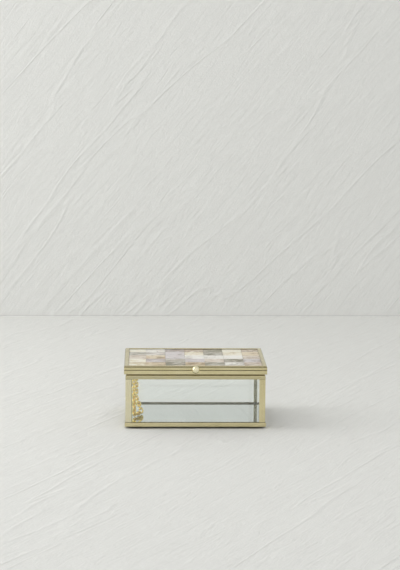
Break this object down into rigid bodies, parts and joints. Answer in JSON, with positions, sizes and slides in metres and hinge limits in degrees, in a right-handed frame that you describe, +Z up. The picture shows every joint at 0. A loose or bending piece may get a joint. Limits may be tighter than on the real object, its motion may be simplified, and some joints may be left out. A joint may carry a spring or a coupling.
{
  "type": "glass box",
  "caption": "Small brass-framed clear glass keepsake box with a mirror floor and a hinged lid of mother-of-pearl tiles, with a ball knob and a chain that stays the lid.",
  "frame": {"origin": "middle of the underside, on the surface that the box stands on", "axes": "+X to the right along the front, +Y to the back where the hinge is, +Z up"},
  "size_m": [0.1446, 0.1204, 0.0655],
  "materials": {
    "strip_brass": "satin, lightly brushed",
    "polished_brass": "polished",
    "chain_gold": "bright",
    "clear_glass": "clear, polished",
    "mirror_glass": "silvered",
    "backing_felt": "felt",
    "board_wood": "sanded",
    "shell_cream": "polished mother-of-pearl",
    "shell_pearl": "polished mother-of-pearl",
    "shell_lavender": "polished mother-of-pearl",
    "shell_rose": "polished mother-of-pearl",
    "shell_grey": "polished mother-of-pearl",
    "shell_tan": "polished mother-of-pearl"
  },
  "bodies": {
    "box": {"base_rail_front": "strip_brass", "base_rail_right": "strip_brass", "base_rail_back": "strip_brass", "base_rail_left": "strip_brass", "base_mirror": "mirror_glass", "base_backing": "backing_felt", "corner_post_front_left": "strip_brass", "corner_post_front_right": "strip_brass", "corner_post_back_right": "strip_brass", "corner_post_back_left": "strip_brass", "top_rail_front": "strip_brass", "top_rail_right": "strip_brass", "top_rail_back": "strip_brass", "top_rail_left": "strip_brass", "pane_front": "clear_glass", "pane_right": "clear_glass", "pane_back": "clear_glass", "pane_left": "clear_glass", "hinge_leaf_box": "strip_brass", "hinge_pin": "strip_brass", "chain_peg_box": "chain_gold"},
    "lid": {"lid_rail_front": "strip_brass", "lid_rail_right": "strip_brass", "lid_rail_back": "strip_brass", "lid_rail_left": "strip_brass", "lid_board": "board_wood", "shell_tiles_cream": "shell_cream", "shell_tiles_pearl": "shell_pearl", "shell_tiles_lavender": "shell_lavender", "shell_tiles_rose": "shell_rose", "shell_tiles_grey": "shell_grey", "shell_tiles_tan": "shell_tan", "knob": "polished_brass", "hinge_leaf_lid": "strip_brass", "chain_eye_lid": "chain_gold"},
    "chain_box": {"chain_run_box": "chain_gold"},
    "chain_lower": {"chain_slant": "chain_gold"},
    "chain_lid": {"chain_run_lid": "chain_gold"},
    "chain_end": {"chain_tail": "chain_gold"}
  },
  "joints": [
    {"name": "lid_hinge", "type": "hinge", "parent": "box", "child": "lid", "pos_m": [0, 0.0562, 0.05565], "axis": [-1, 0, 0], "range_deg": [0, 105.03]},
    {"name": "chain_box_pivot", "type": "hinge", "parent": "box", "child": "chain_box", "pos_m": [-0.0601, -0.00509, 0.0544], "axis": [0.9997, 0.0255, 0], "range_deg": [0, 133.89]},
    {"name": "chain_slant_pivot", "type": "hinge", "parent": "chain_box", "child": "chain_lower", "pos_m": [-0.0601, -0.00509, 0.02335], "axis": [0, 1, 0], "range_deg": [0, 20]},
    {"name": "chain_lid_pivot", "type": "hinge", "parent": "lid", "child": "chain_lid", "pos_m": [-0.0621, -0.02, 0.053], "axis": [0.9998, -0.0214, 0], "range_deg": [0, 58.94]},
    {"name": "chain_tail_pivot", "type": "hinge", "parent": "chain_lid", "child": "chain_end", "pos_m": [-0.0621, -0.02, 0.00815], "axis": [-0.8198, 0.5727, 0], "range_deg": [0, 88.34]}
  ],
  "couplings": [
    {"joint": "chain_box_pivot", "follows": "lid_hinge", "ratio": 1.2748},
    {"joint": "chain_slant_pivot", "follows": "lid_hinge", "ratio": 0.19042},
    {"joint": "chain_lid_pivot", "follows": "lid_hinge", "ratio": 0.56111},
    {"joint": "chain_tail_pivot", "follows": "lid_hinge", "ratio": 0.84108}
  ]
}
